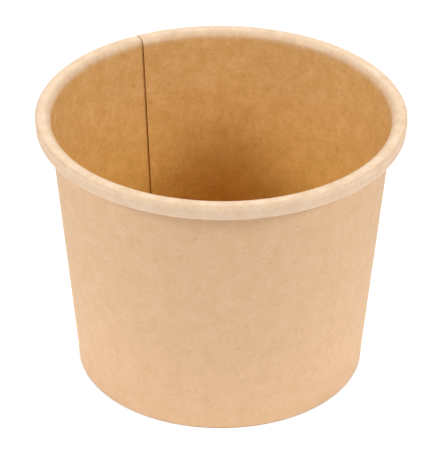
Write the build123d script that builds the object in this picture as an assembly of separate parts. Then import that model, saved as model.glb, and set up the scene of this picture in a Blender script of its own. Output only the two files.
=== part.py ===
from build123d import *

import math
import os

# Paper ice cream tub, in millimetres, +Z up, standing on z = 0 with its axis on Z.
# Two heat-sealed pieces of kraft board: a wrapped wall and a base disc clamped in the wall's hem.
# Both are drawn as the line of the board's food face, in radius and height, with the board behind it.

# Overall sizes
rim_diameter = 90.0  # over the rolled rim, which is the size that a lid fits
tub_height = 68.75
base_diameter = 71.6  # outside of the wall at the foot
board = 0.4  # thickness of the board, for the wall and for the base

# Rolled rim: the wall turns outward over a crown, down an upright face, and under and back up to the wall.
# Each bend is given on the hollow side of the doubled board, the tightest that it has to turn.
mouth_bend = 1.16
crown_width = 1.0
crown_bend = 0.06
rim_face_height = 2.07
lower_bend = 0.46
tail_slope = 30.0  # degrees above level, of the board's last stretch up to the wall
tail_gap = 0.15  # between the board's upper edge and the doubled wall

# Side seam: the inner end of the blank ends in a cut edge at the seam, over the outer end,
# which jogs out just before the edge and carries on behind it for the lap.
seam_azimuth = 118.8  # degrees from +X, counter-clockwise seen from above
lap_width = 8.0
jog_width = 4.0
seam_press = 0.06  # how far the sealing press sinks the two boards into each other
lap_foot = 0.8  # the lap's lower end, above the fold of the foot

# Foot: the wall's lower edge folds inward and up as a hem, with the base's skirt pressed between.
base_recess = 6.0  # from the standing plane up to the underside of the base disc
seal_gap = 0.02  # film between the skirt and the board on each side of it
hem_gap = 0.4  # from the hem's edge up to the base disc
skirt_gap = 0.2  # from the inside of the fold up to the skirt's edge

lap_step = board - seam_press
doubled_board = lap_step + board
rim_radius = rim_diameter / 2
mouth_radius = rim_radius - (mouth_bend + doubled_board) - crown_width - (crown_bend + doubled_board)
foot_radius = base_diameter / 2 - board
lean = math.atan2(mouth_radius - foot_radius, tub_height)


def wall_point(height, outward):
    """Point level with `height`, `outward` from the wall's food face, measured square to the board."""
    return Vector(foot_radius + height * math.tan(lean) + outward / math.cos(lean), height)


def board_line(corners, bends, depth):
    """The line that runs `depth` behind a food face given by its corners and the radii of its bends."""
    headings = []
    for start, end in zip(corners, corners[1:]):
        headings.append((end - start).normalized())
    behind = [Vector(heading.Y, -heading.X) for heading in headings]

    points = [corners[0] + behind[0] * depth]
    radii = []
    for index, bend in enumerate(bends):
        before, after = behind[index], behind[index + 1]
        points.append(corners[index + 1] + (before + after) * (depth / (1 + before.dot(after))))
        turns_left = headings[index].cross(headings[index + 1]).Z > 0
        radii.append(bend + depth if turns_left else bend - depth)
    points.append(corners[-1] + behind[-1] * depth)
    return FilletPolyline(*points, radius=radii)


def board_section(corners, bends, near, far):
    """Section of the board between two depths behind its food face, upright at azimuth zero."""
    near_line = board_line(corners, bends, near)
    far_line = board_line(corners, bends, far)
    first_end = Line(near_line @ 0, far_line @ 0)
    last_end = Line(near_line @ 1, far_line @ 1)
    return make_face(Plane.XZ * (near_line + last_end + far_line + first_end))


def foot_outline():
    """Corners and bends of the food face from the hem's edge, down and round the pressed fold."""
    hem_inset = board + 2 * seal_gap
    corners = [
        wall_point(base_recess - hem_gap, -hem_inset),
        wall_point(board, -hem_inset),
        wall_point(board, 0),
    ]
    return corners, [0, 0]


def rim_outline():
    """Corners and bends of the food face from the top of the wall, round the roll to the board's edge."""
    bends = [bend + doubled_board for bend in (mouth_bend, crown_bend, lower_bend)]
    face_bottom = tub_height - bends[1] - rim_face_height
    slope = math.radians(tail_slope)
    lower_corner = Vector(rim_radius, face_bottom - bends[2] * math.tan((math.pi / 2 + slope) / 2))
    nearest_wall = wall_point(lower_corner.Y, doubled_board + tail_gap)
    tail = (rim_radius - nearest_wall.X) / (math.cos(slope) + math.sin(slope) * math.tan(lean))
    corners = [
        wall_point(tub_height, 0),
        Vector(rim_radius, tub_height),
        lower_corner,
        lower_corner + Vector(-math.cos(slope), math.sin(slope)) * tail,
    ]
    return corners, bends


def side_wall():
    """Foot ring, wrapped wall with its rim, the second board behind the lap, and the jog that joins them."""
    foot_corners, foot_bends = foot_outline()
    rim_corners, rim_bends = rim_outline()
    lap_start = wall_point(lap_foot, 0)
    foot_board = board_section(foot_corners + [lap_start], foot_bends, 0, board)
    front_board = board_section([lap_start] + rim_corners, rim_bends, 0, board)
    back_board = board_section([lap_start] + rim_corners, rim_bends, lap_step, doubled_board)

    mean_radius = (mouth_radius + foot_radius) / 2
    lap_angle = math.degrees(lap_width / mean_radius)
    jog_angle = math.degrees(jog_width / mean_radius)
    foot = revolve(foot_board, Axis.Z, 360)
    wrap = Rot(Z=seam_azimuth + jog_angle) * revolve(front_board, Axis.Z, 360 - jog_angle)
    lap = Rot(Z=seam_azimuth - lap_angle) * revolve(back_board, Axis.Z, lap_angle)
    jog_start = Rot(Z=seam_azimuth) * back_board
    jog_end = Rot(Z=seam_azimuth + jog_angle) * front_board
    jog = loft([jog_start, jog_end], ruled=True)
    return foot + wrap + lap + jog


def base_disc():
    """Base disc whose edge turns down into a skirt, which runs inside the wall into its hem."""
    floor_height = base_recess + board
    skirt_end = board + skirt_gap
    corners = [
        Vector(0, floor_height),
        wall_point(floor_height, -seal_gap),
        wall_point(skirt_end, -seal_gap),
    ]
    return revolve(board_section(corners, [board], 0, board), Axis.Z, 360)


os.makedirs("parts", exist_ok=True)
export_step(side_wall(), "parts/side_wall.step")
export_step(base_disc(), "parts/base_disc.step")
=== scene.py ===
import math

import bmesh
import bpy
from mathutils import Matrix, Vector, noise


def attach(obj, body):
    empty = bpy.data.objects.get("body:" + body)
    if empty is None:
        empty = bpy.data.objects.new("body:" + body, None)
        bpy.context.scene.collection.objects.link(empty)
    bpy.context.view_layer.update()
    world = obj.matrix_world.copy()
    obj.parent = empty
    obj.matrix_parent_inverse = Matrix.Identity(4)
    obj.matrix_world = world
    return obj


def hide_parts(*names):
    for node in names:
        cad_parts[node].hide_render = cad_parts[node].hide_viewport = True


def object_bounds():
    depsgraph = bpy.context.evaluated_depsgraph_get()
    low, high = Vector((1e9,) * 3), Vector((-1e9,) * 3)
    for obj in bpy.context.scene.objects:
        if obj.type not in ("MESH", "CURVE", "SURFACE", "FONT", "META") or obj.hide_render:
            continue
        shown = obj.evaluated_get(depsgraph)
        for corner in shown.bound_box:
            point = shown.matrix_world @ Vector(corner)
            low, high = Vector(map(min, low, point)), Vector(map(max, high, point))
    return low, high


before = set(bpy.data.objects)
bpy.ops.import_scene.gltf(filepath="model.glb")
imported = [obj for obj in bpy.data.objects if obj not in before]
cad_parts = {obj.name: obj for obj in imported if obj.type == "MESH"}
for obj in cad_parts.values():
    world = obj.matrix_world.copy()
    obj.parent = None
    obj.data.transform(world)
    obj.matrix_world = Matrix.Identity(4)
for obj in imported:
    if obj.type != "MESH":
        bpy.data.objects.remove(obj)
cad_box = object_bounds()

# Lengths of the tub are in millimetres and go to metres when a mesh is finished.
MM = 0.001
COATED, BARE, CUT = range(3)  # material slots of a piece of board
BLANK_MAP = "blank_mm"  # UV map that holds each point's place on the flat blank, in millimetres

# The overall sizes come from the frame, and the others are as in the CAD part.
# The lines are those of the food face, with the board behind it.
RIM_RADIUS = round(cad_box[1][0] / MM, 2)
HEIGHT = round(cad_box[1][2] / MM, 2)
BOARD = 0.4
FOOT_RADIUS = 35.4
MOUTH_RADIUS = 41.3
LEAN = math.atan2(MOUTH_RADIUS - FOOT_RADIUS, HEIGHT)
MEAN_RADIUS = (FOOT_RADIUS + MOUTH_RADIUS) / 2
MOUTH_BEND, CROWN_BEND, LOWER_BEND = 1.9, 0.8, 1.2
RIM_FACE = 2.07
FACE_TOP = 0.9  # the upper part of the rim's face stands upright; below it the face tucks in a little
FACE_LEAN = math.radians(6)
FACE_BEND = 14.0
TAIL_SLOPE = math.radians(30)
TAIL_RADIUS = 42.2  # of the board's edge inside the roll
HEM_TOP, HEM_INSET = 5.6, 0.44
FOLD_BEND = 0.06
FOLD_TOP = BOARD + 0.75 * FOLD_BEND  # a height that the line passes near the end of the fold's bend
BASE_HEIGHT = 6.4
SKIRT_END = 0.6
SKIRT_GAP = 0.02
SHOULDER_BEND = 0.5
BASE_BLANK_DROP = 60.0  # on the sheet, the base's blank lies below the wall's, so its food face takes the full painted shade

# The wrap: clockwise from the inner cut edge, once round and on behind it for the lap.
SEAM_AZIMUTH = math.radians(118.8)
TURN_STEPS = 432
LAP_STEPS = 14
STEP = math.tau / TURN_STEPS
JOG_WIDTH = 4.0
LAP_DEPTH = 0.41
RIM_STEP_DEPTH = 0.14  # the press flattens the lap on the roll
PRESS_REACH = 3.2  # along the roll, until the lap is pressed that flat
HIDDEN_DROP = 2 * STEP  # behind the cut edge, the lap is back at its full depth after this angle
LAP_FOOT = 0.4  # the lap's lower end, above the fold
LAP_TRIM = 0.5  # the lap is cut off this much above its lower end
RIPPLE_DEPTH, RIPPLE_SIZE = 0.03, 5.0  # unevenness of the rolled board

# How finely the lines are drawn: the longest straight stretch, and the steps of each bend.
WALL_STRETCH, BASE_STRETCH = 2.0, 3.0
WALL_BEND_STEPS = (4, 4, 10, 8, 4, 10)
BASE_BEND_STEPS = (5,)
BASE_STEPS = TURN_STEPS // 2
MERGE_DISTANCE = 0.001
SHARP_ANGLE = math.radians(38)

# Places along the wall's line, from the hem's edge up, where the finish of the food face changes tone. Below
# the first pair the brown is painted deeper and more saturated: painted shade low in the tub.
PAINTED_SHADE_END, PAINTED_SHADE_START = 25.7, 59.8
# Along the roll the tone is paler, partly the stretched film and partly painted highlight, and the face is
# painted darker than the crown, as the light falls from above.
ROLL_START, ROLL_PALE = 72.0, 74.2
FACE_START, FACE_END = 77.1, 79.3
ROLL_SHARE = 0.93  # a little of the brown shows through the pale film

# Kraft board's pattern: sizes in millimetres, and the part of the noise that shows.
FLOC_SIZE = 4.5
FLOC_LOW, FLOC_HIGH = 0.3, 0.7
CURL_SIZE, CURL_REACH = 0.9, 0.9
STROKE_CORE, STROKE_EDGE = 0.35, 1.1  # a fibre fades out between these shares of its half length and width
BUMP_HEIGHT = 0.05
BUMP_STRENGTH = 0.5
ROUGHNESS_SPREAD = 0.06

# The studio, in metres and watts. The glow of the floor starts just past the foot.
SWEEP_RADIUS = 3.0
SWEEP_CLOUD = 0.025
SWEEP_ROUGHNESS = (0.85, 0.95)
GLOW_STRENGTH = 0.608
GLOW_START, GLOW_FULL = 0.0356, 0.0364
GLOW_FADE, GLOW_END = 0.05, 0.22
SURROUND_STRENGTH = 0.225
LIGHT_AIM = Vector((0, 0, 0.04))
LIGHT_DISTANCE = 3.0
# Each soft light's azimuth from the front and its elevation, in degrees, then its size and power.
LIGHTS = {
    "left_key_light": (-58, 35, 0.75, 19.0),
    "left_side_light": (-75, 35, 0.75, 27.5),
    "right_key_light": (58, 35, 0.75, 19.0),
    "right_side_light": (75, 35, 0.75, 27.5),
    "front_light": (0, 24, 0.75, 8.0),
    "back_light": (180, 45, 1.3, 40.7),
}

# The camera, fitted to the outlines in the photo.
CAMERA_PLACE = Vector((0, -0.540078, 0.369415))
CAMERA_FORWARD = Vector((0.000534, 0.851010, -0.525149))
CAMERA_UP = Vector((-0.005678, 0.525144, 0.850995))
CAMERA_LENS, SENSOR_WIDTH = 204.63, 36.0

# Sockets of a Mix node for colours, which shares its sockets' names with other kinds of value.
MIX_FACTOR, MIX_A, MIX_B = 0, 6, 7
MIX_RESULT = 2


def linear(hex_colour):
    """Linear RGBA of an sRGB hex colour."""
    channels = []
    for start in (0, 2, 4):
        value = int(hex_colour[start : start + 2], 16) / 255
        channels.append(value / 12.92 if value <= 0.04045 else ((value + 0.055) / 1.055) ** 2.4)
    return (*channels, 1.0)


def add_node(tree, kind, inputs=None, **settings):
    """Adds a node with its settings; an input is a value, or the socket of another node to link from."""
    made = tree.nodes.new(kind)
    for name, value in settings.items():
        setattr(made, name, value)
    for key, value in (inputs or {}).items():
        if isinstance(value, bpy.types.NodeSocket):
            tree.links.new(value, made.inputs[key])
        else:
            made.inputs[key].default_value = value
    return made


def new_material(name):
    """An empty material with nodes, and its tree."""
    material = bpy.data.materials.new(name)
    material.use_nodes = True
    material.node_tree.nodes.clear()
    return material, material.node_tree


def kraft_fibres(tree, place, cell, length, width, share, shift):
    """Mask of single fibres: one short stroke in some cells of a random pattern, each turned its own way."""
    moved = add_node(tree, "ShaderNodeVectorMath", {0: place, 1: shift}, operation="ADD")
    cells = add_node(
        tree,
        "ShaderNodeTexVoronoi",
        {"Vector": moved.outputs[0], "Scale": 1 / cell},
        voronoi_dimensions="2D",
    )
    luck = add_node(tree, "ShaderNodeSeparateColor", {0: cells.outputs["Color"]})
    angle = add_node(tree, "ShaderNodeMath", {0: luck.outputs[0], 1: math.pi}, operation="MULTIPLY")
    offset = add_node(
        tree,
        "ShaderNodeVectorMath",
        {0: moved.outputs[0], 1: cells.outputs["Position"]},
        operation="SUBTRACT",
    )
    turned = add_node(
        tree,
        "ShaderNodeVectorRotate",
        {"Vector": offset.outputs[0], "Angle": angle.outputs[0]},
        rotation_type="Z_AXIS",
    )
    stretched = add_node(
        tree,
        "ShaderNodeVectorMath",
        {0: turned.outputs[0], 1: (2 / length, 2 / width, 0)},
        operation="MULTIPLY",
    )
    distance = add_node(tree, "ShaderNodeVectorMath", {0: stretched.outputs[0]}, operation="LENGTH")
    stroke = add_node(
        tree,
        "ShaderNodeMapRange",
        {
            "Value": distance.outputs["Value"],
            "From Min": STROKE_CORE,
            "From Max": STROKE_EDGE,
            "To Min": 1.0,
            "To Max": 0.0,
        },
        interpolation_type="SMOOTHSTEP",
    )
    drawn = add_node(
        tree, "ShaderNodeMapRange", {"Value": luck.outputs[1], "From Min": 1 - share, "From Max": 1.0}
    )
    mask = add_node(
        tree, "ShaderNodeMath", {0: stroke.outputs[0], 1: drawn.outputs[0]}, operation="MULTIPLY"
    )
    return mask.outputs[0]


def pulp_tones(tree, floc, tones):
    """Colour of the pulp, between the tone where it is thin and the tone where it is thick."""
    thin, thick = tones
    return add_node(
        tree,
        "ShaderNodeMix",
        {MIX_FACTOR: floc, MIX_A: linear(thin), MIX_B: linear(thick)},
        data_type="RGBA",
    ).outputs[MIX_RESULT]


def change_tone(tree, height, low, high, share, below, above, interpolation):
    """Turns one colour into a share of another between two places along the wall's line."""
    risen = add_node(
        tree,
        "ShaderNodeMapRange",
        {"Value": height, "From Min": low, "From Max": high, "To Max": share},
        interpolation_type=interpolation,
    )
    return add_node(
        tree,
        "ShaderNodeMix",
        {MIX_FACTOR: risen.outputs[0], MIX_A: below, MIX_B: above},
        data_type="RGBA",
    ).outputs[MIX_RESULT]


def kraft_board(name, ground, dark_fibre, pale_fibre, roughness, specular, painted_shade=None, crown=None, face=None):
    """Kraft board: unbleached pulp, so a brown ground with clouds of thicker pulp and single fibres."""
    material, tree = new_material(name)
    blank = add_node(tree, "ShaderNodeUVMap", uv_map=BLANK_MAP).outputs[0]

    # Pulp settles in flocs of every size, from some millimetres down to the fibres' own.
    pulp = add_node(
        tree,
        "ShaderNodeTexNoise",
        {"Vector": blank, "Scale": 1 / FLOC_SIZE, "Detail": 4.0, "Roughness": 0.85},
        noise_dimensions="2D",
    ).outputs[0]
    floc = add_node(
        tree, "ShaderNodeMapRange", {"Value": pulp, "From Min": FLOC_LOW, "From Max": FLOC_HIGH}
    ).outputs[0]
    colour = pulp_tones(tree, floc, ground)
    # Low on the wall, painted shade: the brown turns deeper and more saturated.
    if painted_shade:
        height = add_node(tree, "ShaderNodeSeparateXYZ", {0: blank}).outputs[1]
        lower = pulp_tones(tree, floc, painted_shade)
        colour = change_tone(tree, height, PAINTED_SHADE_END, PAINTED_SHADE_START, 1.0, lower, colour, "LINEAR")

    # Fibres lie curled, so the place that they are drawn by wanders a little.
    wander = add_node(
        tree,
        "ShaderNodeTexNoise",
        {"Vector": blank, "Scale": 1 / CURL_SIZE, "Detail": 1.0},
        noise_dimensions="2D",
    )
    curled = add_node(
        tree,
        "ShaderNodeVectorMath",
        {0: wander.outputs["Color"], 1: (CURL_REACH, CURL_REACH, 0.0), 2: blank},
        operation="MULTIPLY_ADD",
    ).outputs[0]

    # Real fibres are 0.03 mm wide; they are drawn about 0.25 mm wide, so that they show in the picture.
    for tint, cell, length, width, share, shift, strength in (
        (dark_fibre, 2.0, 1.3, 0.24, 0.4, (11.0, 18.7, 0.0), 0.55),
        (dark_fibre, 1.3, 0.7, 0.28, 0.3, (37.0, 62.9, 0.0), 0.6),
        (pale_fibre, 1.9, 1.2, 0.24, 0.4, (53.0, 90.1, 0.0), 0.5),
        (pale_fibre, 1.5, 0.7, 0.3, 0.3, (71.0, 120.7, 0.0), 0.6),
    ):
        mask = kraft_fibres(tree, curled, cell, length, width, share, shift)
        faint = add_node(tree, "ShaderNodeMath", {0: mask, 1: strength}, operation="MULTIPLY")
        colour = add_node(
            tree,
            "ShaderNodeMix",
            {MIX_FACTOR: faint.outputs[0], MIX_A: colour, MIX_B: linear(tint)},
            data_type="RGBA",
        ).outputs[MIX_RESULT]

    # The pale tones of the roll start along a line that wanders as the fibres do. They are partly the film
    # stretched pale, partly painted highlight; the crown is painted lighter and the face darker, as the
    # light falls from above.
    if crown and face:
        height = add_node(tree, "ShaderNodeSeparateXYZ", {0: curled}).outputs[1]
        stretched = pulp_tones(tree, floc, crown)
        shaded_face = pulp_tones(tree, floc, face)
        pale = change_tone(tree, height, FACE_START, FACE_END, 1.0, stretched, shaded_face, "SMOOTHSTEP")
        colour = change_tone(tree, height, ROLL_START, ROLL_PALE, ROLL_SHARE, colour, pale, "SMOOTHSTEP")

    matt = add_node(
        tree,
        "ShaderNodeMapRange",
        {
            "Value": pulp,
            "From Min": FLOC_LOW,
            "From Max": FLOC_HIGH,
            "To Min": roughness - ROUGHNESS_SPREAD,
            "To Max": roughness + ROUGHNESS_SPREAD,
        },
    )
    bump = add_node(
        tree,
        "ShaderNodeBump",
        {"Strength": BUMP_STRENGTH, "Distance": BUMP_HEIGHT * MM, "Height": pulp},
    )
    shader = add_node(
        tree,
        "ShaderNodeBsdfPrincipled",
        {
            "Base Color": colour,
            "Roughness": matt.outputs[0],
            "Specular IOR Level": specular,
            "Normal": bump.outputs[0],
        },
    )
    add_node(tree, "ShaderNodeOutputMaterial", {"Surface": shader.outputs[0]})
    return material


# Each pair of tones is that of thin and of thick pulp.
# Food face: kraft with a film of polyethylene melted on, so the brown is deeper and the surface satin.
# The roll at the rim is paler: partly the film, stretched pale where the board rolls over, partly painted
# highlight, with the crown painted lighter and the face darker. The deep tones, low on the wall and on the
# base, are painted shade, a deeper and more saturated brown, there to match the contrast of the photo: the
# film itself is likely of one tone.
coated_kraft = kraft_board(
    "coated_kraft_board",
    ground=("E4B878", "D3A157"),
    dark_fibre="A77035",
    pale_fibre="F2CB90",
    roughness=0.62,
    specular=0.9,
    painted_shade=("E4B659", "D39F40"),
    crown=("EED1B1", "DFBE99"),
    face=("D6BA9F", "CCAE91"),
)

# Outside: bare machine-finished kraft, dry and matt, with its fibres open to the eye.
bare_kraft = kraft_board(
    "bare_kraft_board",
    ground=("D0AB88", "C8A37B"),
    dark_fibre="AF855A",
    pale_fibre="D9BFA0",
    roughness=0.66,
    specular=0.4,
)

# Cut edges: the pulp of the core, where the knife shows its rougher inside. Their dark brown is partly the
# core's own and partly painted shade, as the seam's cut edge lies in the shadow of its step.
cut_kraft = kraft_board(
    "cut_kraft_edge",
    ground=("945C1C", "824B10"),
    dark_fibre="694010",
    pale_fibre="AE7E3C",
    roughness=0.8,
    specular=0.2,
)


def eased(value, low, high):
    """Zero below `low`, one above `high`, and a smooth rise between."""
    share = min(max((value - low) / (high - low), 0), 1)
    return share * share * (3 - 2 * share)


def wall_corner(height, outward):
    """Section point at a height, `outward` from the wall's food face, measured square to the board."""
    return Vector((FOOT_RADIUS + height * math.tan(LEAN) + outward / math.cos(LEAN), 0, height))


def draw_section(bm, corners, bends, stretch, bend_steps):
    """Draws the line of a board's food face at azimuth zero: straight runs with round bends between."""
    tip = bm.verts.new(corners[0])
    for index in range(1, len(corners)):
        heading = (corners[index] - corners[index - 1]).normalized()
        turn, reach = 0, 0
        if index < len(corners) - 1:
            onward = (corners[index + 1] - corners[index]).normalized()
            turn = math.atan2(onward.cross(heading).y, heading.dot(onward))
            reach = bends[index - 1] * math.tan(abs(turn) / 2)
        run = corners[index] - heading * reach - tip.co
        cuts = max(1, math.ceil(run.length / stretch))
        for _ in range(cuts):
            tip = bmesh.ops.extrude_vert_indiv(bm, verts=[tip])["verts"][0]
            bmesh.ops.translate(bm, verts=[tip], vec=run / cuts)
        if turn:
            to_left = Vector((-heading.z, 0, heading.x))
            centre = tip.co + to_left * math.copysign(bends[index - 1], turn)
            swept = bmesh.ops.spin(
                bm, geom=[tip], cent=centre, axis=(0, -1, 0), angle=turn, steps=bend_steps[index - 1]
            )
            tip = [part for part in swept["geom_last"] if isinstance(part, bmesh.types.BMVert)][0]


def measure_section(bm):
    """Distance along the drawn line of each of its points, from the first."""
    bm.verts.ensure_lookup_table()
    lengths = [0.0]
    for before, after in zip(bm.verts[:], bm.verts[1:]):
        lengths.append(lengths[-1] + (after.co - before.co).length)
    return lengths


def first_above(bm, lengths, height, start=0):
    """Distance along the drawn line of its first point above a height, from a row on."""
    return next(length for length, vert in zip(lengths[start:], bm.verts[start:]) if vert.co.z > height)


def sweep_section(bm, angle, steps):
    """Sweeps the drawn line round the axis, and puts its points in order, one step after another."""
    rows = len(bm.verts)
    order = bm.verts.layers.int.new("order")
    for row, vert in enumerate(bm.verts):
        vert[order] = row
    ring = bm.verts[:] + bm.edges[:]
    for _ in range(steps):
        ring = bmesh.ops.spin(
            bm, geom=ring, cent=(0, 0, 0), axis=(0, 0, 1), angle=angle / steps, steps=1
        )["geom_last"]
        for part in ring:
            if isinstance(part, bmesh.types.BMVert):
                part[order] += rows
    bm.verts.sort(key=lambda vert: vert[order])
    bm.verts.index_update()
    bm.verts.ensure_lookup_table()
    bm.faces.sort(key=lambda face: min(vert.index for vert in face.verts))
    bm.faces.index_update()
    bm.faces.ensure_lookup_table()
    bm.verts.layers.int.remove(order)
    bm.normal_update()


def map_blank(bm, rows, place_on_blank):
    """Gives each point of a swept line its place on the flat blank, from its step and its row."""
    blank = bm.loops.layers.uv.new(BLANK_MAP)
    for face in bm.faces:
        for loop in face.loops:
            step, row = divmod(loop.vert.index, rows)
            loop[blank].uv = place_on_blank(step, row)


def face_inside(bm):
    """Turns a sheet so that its food face looks at the inside of the tub."""
    bmesh.ops.recalc_face_normals(bm, faces=bm.faces[:])
    inside = Vector((0, 0, HEIGHT / 2))
    nearest = min(bm.faces, key=lambda face: (face.calc_center_median() - inside).length)
    if nearest.normal.dot(inside - nearest.calc_center_median()) < 0:
        bmesh.ops.reverse_faces(bm, faces=bm.faces[:])
    bm.normal_update()


def finish_board(bm, name, node_name):
    """Gives a sheet the board's thickness and finishes, and makes it the piece for a CAD node."""
    bmesh.ops.remove_doubles(bm, verts=bm.verts[:], dist=MERGE_DISTANCE)
    face_inside(bm)
    face_side = bm.faces[:]
    made = bmesh.ops.solidify(bm, geom=face_side, thickness=BOARD)["geom"]
    back_side = {part for part in made if isinstance(part, bmesh.types.BMFace)}
    kept = set(face_side)
    for face in bm.faces:
        face.smooth = True
        face.material_index = COATED if face in kept else BARE if face in back_side else CUT
    bmesh.ops.scale(bm, verts=bm.verts[:], vec=(MM, MM, MM))
    mesh = bpy.data.meshes.new(name)
    bm.to_mesh(mesh)
    bm.free()
    mesh.set_sharp_from_angle(angle=SHARP_ANGLE)
    piece = bpy.data.objects.new(name, mesh)
    bpy.context.scene.collection.objects.link(piece)
    for material in (coated_kraft, bare_kraft, cut_kraft):
        mesh.materials.append(material)
    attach(piece, "root")
    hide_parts(node_name)


def wall_corners():
    """Corners of the wall's line: down the hem, round the fold, up the wall and round the roll."""
    face_middle = Vector((RIM_RADIUS, 0, HEIGHT - CROWN_BEND - FACE_TOP))
    face_bottom = HEIGHT - CROWN_BEND - RIM_FACE
    lower_height = face_bottom - LOWER_BEND * math.tan((math.pi / 2 + TAIL_SLOPE) / 2)
    lower = Vector((RIM_RADIUS - (face_middle.z - lower_height) * math.tan(FACE_LEAN), 0, lower_height))
    tail_rise = (lower.x - TAIL_RADIUS) * math.tan(TAIL_SLOPE)
    return [
        wall_corner(HEM_TOP, -HEM_INSET),
        wall_corner(BOARD, -HEM_INSET),
        wall_corner(BOARD, 0),
        wall_corner(HEIGHT, 0),
        Vector((RIM_RADIUS, 0, HEIGHT)),
        face_middle,
        lower,
        Vector((TAIL_RADIUS, 0, lower.z + tail_rise)),
    ]


def press_lap(bm, lengths, fold_end, mouth_start):
    """Jogs the outer end out just before the cut edge, to lie behind the inner end, and ripples the roll."""
    jog = JOG_WIDTH / MEAN_RADIUS
    for index, vert in enumerate(bm.verts):
        step, row = divmod(index, len(lengths))
        around = step * STEP
        on_wall = eased(lengths[row], fold_end, fold_end + LAP_FOOT)
        on_roll = eased(lengths[row], mouth_start, mouth_start + PRESS_REACH)
        shown_depth = LAP_DEPTH + (RIM_STEP_DEPTH - LAP_DEPTH) * on_roll
        depth = shown_depth * eased(around, math.tau - jog, math.tau)
        depth += (LAP_DEPTH - shown_depth) * eased(around, math.tau, math.tau + HIDDEN_DROP)
        ripple = RIPPLE_DEPTH * on_roll * (1 + noise.noise(vert.co / RIPPLE_SIZE))
        vert.co -= vert.normal * (depth * on_wall + ripple)


def trim_lap(bm, lengths, trim_height):
    """Cuts off the lower end of the lap, so that only one board goes round the fold."""
    rows = len(lengths)
    spare = []
    for face in bm.faces:
        middle_step = sum(vert.index // rows for vert in face.verts) / len(face.verts)
        top = max(lengths[vert.index % rows] for vert in face.verts)
        if middle_step > TURN_STEPS and top < trim_height:
            spare.append(face)
    bmesh.ops.delete(bm, geom=spare, context="FACES")


def make_side_wall():
    """One fan of board, wrapped with a lap, hemmed at the foot and rolled outward at the rim."""
    bm = bmesh.new()
    bends = (FOLD_BEND, FOLD_BEND, MOUTH_BEND, CROWN_BEND, FACE_BEND, LOWER_BEND)
    draw_section(bm, wall_corners(), bends, WALL_STRETCH, WALL_BEND_STEPS)
    lengths = measure_section(bm)
    lowest = min(range(len(lengths)), key=lambda row: bm.verts[row].co.z)
    fold_end = first_above(bm, lengths, FOLD_TOP, lowest)
    mouth_start = first_above(bm, lengths, HEIGHT - MOUTH_BEND)

    def place_on_fan(step, row):
        return step * STEP * MEAN_RADIUS, lengths[row]

    bmesh.ops.rotate(bm, verts=bm.verts[:], cent=(0, 0, 0), matrix=Matrix.Rotation(SEAM_AZIMUTH, 3, "Z"))
    steps = TURN_STEPS + LAP_STEPS
    sweep_section(bm, -STEP * steps, steps)
    map_blank(bm, len(lengths), place_on_fan)
    face_inside(bm)
    press_lap(bm, lengths, fold_end, mouth_start)
    trim_lap(bm, lengths, fold_end + LAP_FOOT + LAP_TRIM)
    finish_board(bm, "side_wall_board", "side_wall")


def make_base_disc():
    """Disc of board whose edge is drawn down into a skirt inside the wall."""
    corners = [
        Vector((0, 0, BASE_HEIGHT)),
        wall_corner(BASE_HEIGHT, -SKIRT_GAP),
        wall_corner(SKIRT_END, -SKIRT_GAP),
    ]
    bm = bmesh.new()
    draw_section(bm, corners, (SHOULDER_BEND,), BASE_STRETCH, BASE_BEND_STEPS)
    lengths = measure_section(bm)

    def place_on_disc(step, row):
        azimuth = math.tau * step / BASE_STEPS
        return lengths[row] * math.cos(azimuth), lengths[row] * math.sin(azimuth) - BASE_BLANK_DROP

    sweep_section(bm, math.tau, BASE_STEPS)
    map_blank(bm, len(lengths), place_on_disc)
    finish_board(bm, "base_disc_board", "base_disc")


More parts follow.
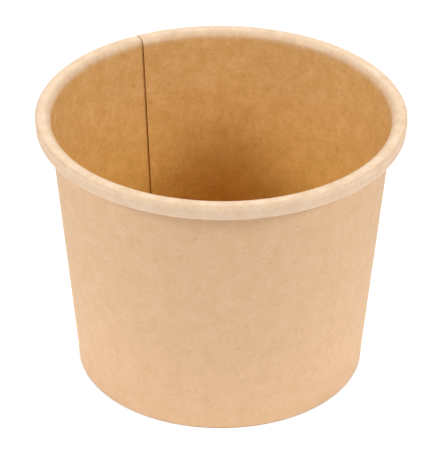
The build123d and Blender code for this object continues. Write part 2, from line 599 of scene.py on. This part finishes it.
def make_floor():
    """Pale paper sweep that the tub stands on."""
    material, tree = new_material("white_paper_sweep")
    place = add_node(tree, "ShaderNodeTexCoord").outputs["Object"]
    tooth = add_node(
        tree, "ShaderNodeTexNoise", {"Vector": place, "Scale": 1 / SWEEP_CLOUD, "Detail": 2.0}
    )
    matt = add_node(
        tree,
        "ShaderNodeMapRange",
        {"Value": tooth.outputs[0], "To Min": SWEEP_ROUGHNESS[0], "To Max": SWEEP_ROUGHNESS[1]},
    )
    # The sweep glows, painted light, brightest in a ring round the foot: it washes out the tub's shadow on
    # the floor and lights the tub from below.
    reach = add_node(tree, "ShaderNodeVectorMath", {0: place}, operation="LENGTH").outputs["Value"]
    pool = add_node(
        tree,
        "ShaderNodeMapRange",
        {
            "Value": reach,
            "From Min": GLOW_FADE,
            "From Max": GLOW_END,
            "To Min": GLOW_STRENGTH,
            "To Max": 0.0,
        },
        interpolation_type="SMOOTHSTEP",
    )
    ring = add_node(
        tree,
        "ShaderNodeMapRange",
        {"Value": reach, "From Min": GLOW_START, "From Max": GLOW_FULL},
        interpolation_type="SMOOTHSTEP",
    )
    glow = add_node(
        tree, "ShaderNodeMath", {0: pool.outputs[0], 1: ring.outputs[0]}, operation="MULTIPLY"
    )
    shader = add_node(
        tree,
        "ShaderNodeBsdfPrincipled",
        {
            "Base Color": linear("F8F8F8"),
            "Roughness": matt.outputs[0],
            "Specular IOR Level": 0.1,
            "Emission Color": linear("FFFFFF"),
            "Emission Strength": glow.outputs[0],
        },
    )
    add_node(tree, "ShaderNodeOutputMaterial", {"Surface": shader.outputs[0]})
    bm = bmesh.new()
    bmesh.ops.create_circle(bm, cap_ends=True, segments=64, radius=SWEEP_RADIUS)
    mesh = bpy.data.meshes.new("floor")
    bm.to_mesh(mesh)
    bm.free()
    mesh.materials.append(material)
    floor = bpy.data.objects.new("floor", mesh)
    bpy.context.scene.collection.objects.link(floor)


def add_softbox(name, azimuth, elevation, size, power):
    """Square soft light that looks at the tub."""
    light = bpy.data.lights.new(name, "AREA")
    light.shape = "SQUARE"
    light.size = size
    light.energy = power
    level = LIGHT_DISTANCE * math.cos(elevation)
    towards = Vector(
        (level * math.sin(azimuth), -level * math.cos(azimuth), LIGHT_DISTANCE * math.sin(elevation))
    )
    softbox = bpy.data.objects.new(name, light)
    softbox.location = LIGHT_AIM + towards
    softbox.rotation_euler = (-towards).to_track_quat("-Z", "Y").to_euler()
    bpy.context.scene.collection.objects.link(softbox)


def light_studio():
    """White surround, and soft lights on both sides, in front and behind."""
    world = bpy.data.worlds.new("white_studio")
    world.use_nodes = True
    surround = world.node_tree.nodes["Background"]
    surround.inputs["Color"].default_value = linear("FFFFFF")
    surround.inputs["Strength"].default_value = SURROUND_STRENGTH
    bpy.context.scene.world = world
    for name, (azimuth, elevation, size, power) in LIGHTS.items():
        add_softbox(name, math.radians(azimuth), math.radians(elevation), size, power)


def add_camera():
    """Long lens a little above the tub, at the photo's angle."""
    camera_data = bpy.data.cameras.new("camera")
    camera_data.lens = CAMERA_LENS
    camera_data.sensor_width = SENSOR_WIDTH
    camera = bpy.data.objects.new("camera", camera_data)
    right = CAMERA_FORWARD.cross(CAMERA_UP)
    turned = Matrix((right, CAMERA_UP, -CAMERA_FORWARD)).transposed().to_4x4()
    camera.matrix_world = Matrix.Translation(CAMERA_PLACE) @ turned
    bpy.context.scene.collection.objects.link(camera)
    bpy.context.scene.camera = camera


make_side_wall()
make_base_disc()
make_floor()
light_studio()
add_camera()
bpy.context.scene.view_settings.view_transform = "Standard"
